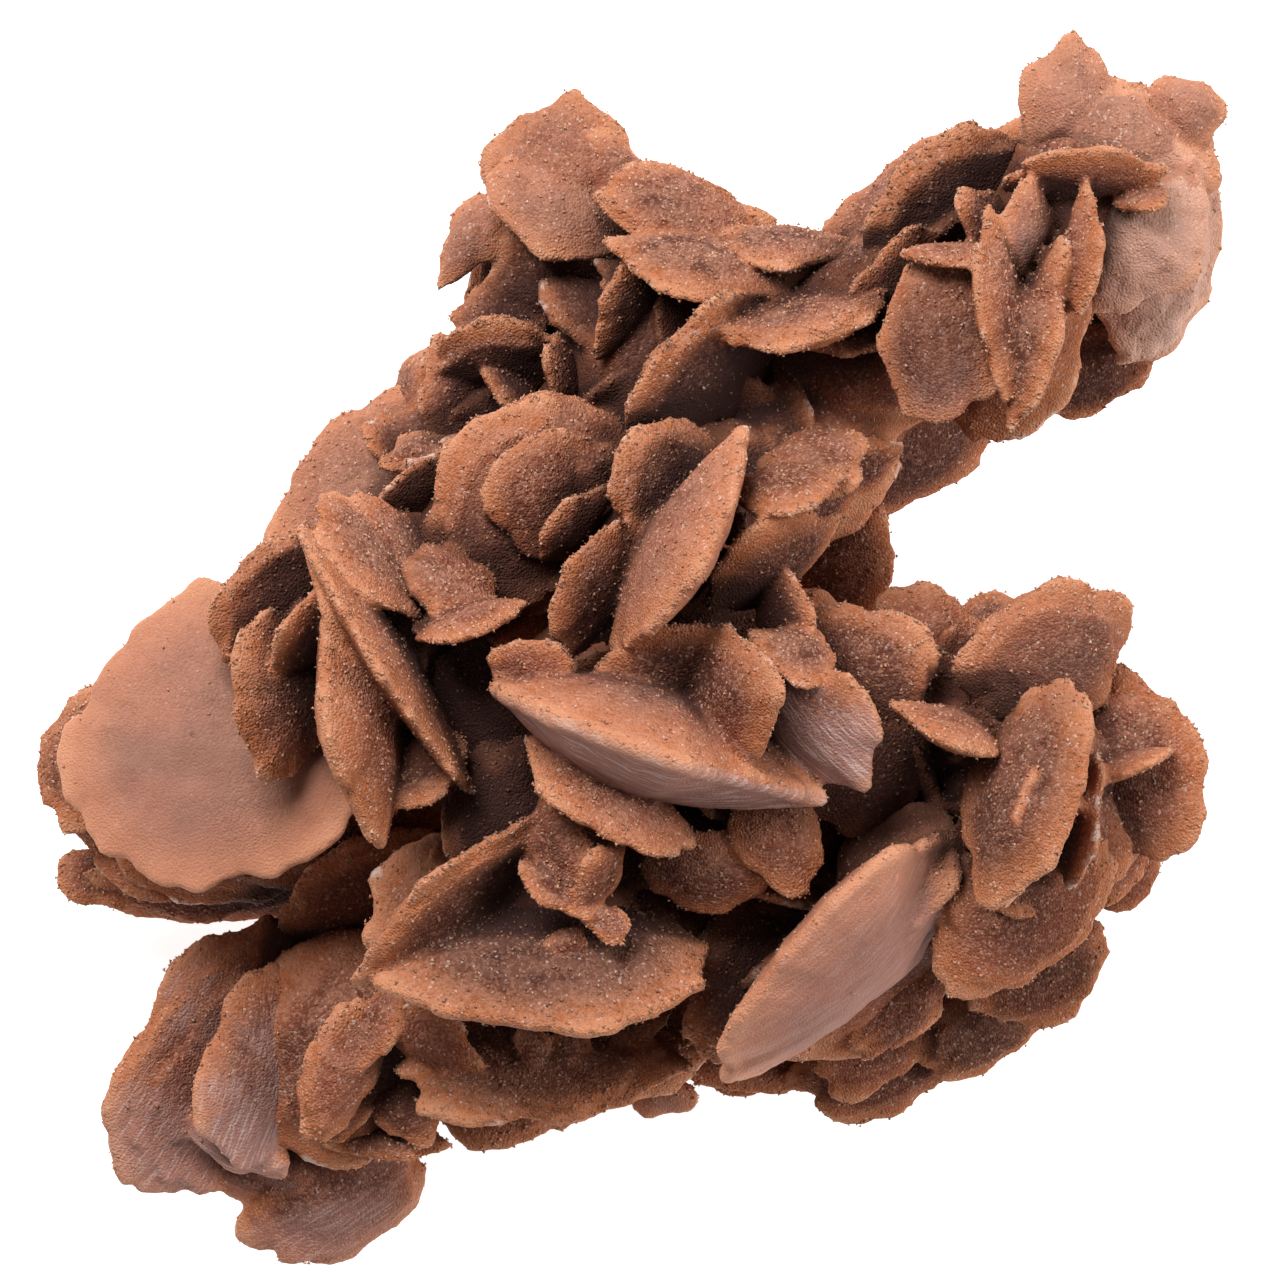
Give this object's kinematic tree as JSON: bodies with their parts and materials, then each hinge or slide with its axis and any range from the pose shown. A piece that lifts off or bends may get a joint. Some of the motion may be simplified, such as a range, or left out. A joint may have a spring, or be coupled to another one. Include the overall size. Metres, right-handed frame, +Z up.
{
  "type": "gypsum sand rose",
  "caption": "Desert rose specimen: sand-filled gypsum lens crystals grown through one another in one open cluster that lies on low blade feet.",
  "frame": {"origin": "on the table under the middle of the rose's bounding box", "axes": "+Z up from the table, +Y towards the two upper arms as the picture shows them, +X to the right cluster"},
  "size_m": [0.0846, 0.0878, 0.044],
  "materials": {
    "sandy_gypsum": "granular, matt sand-coated crystal faces, tan to red-brown, with paler worn rims"
  },
  "bodies": {
    "root": {"sand_rose": "sandy_gypsum"}
  },
  "joints": []
}
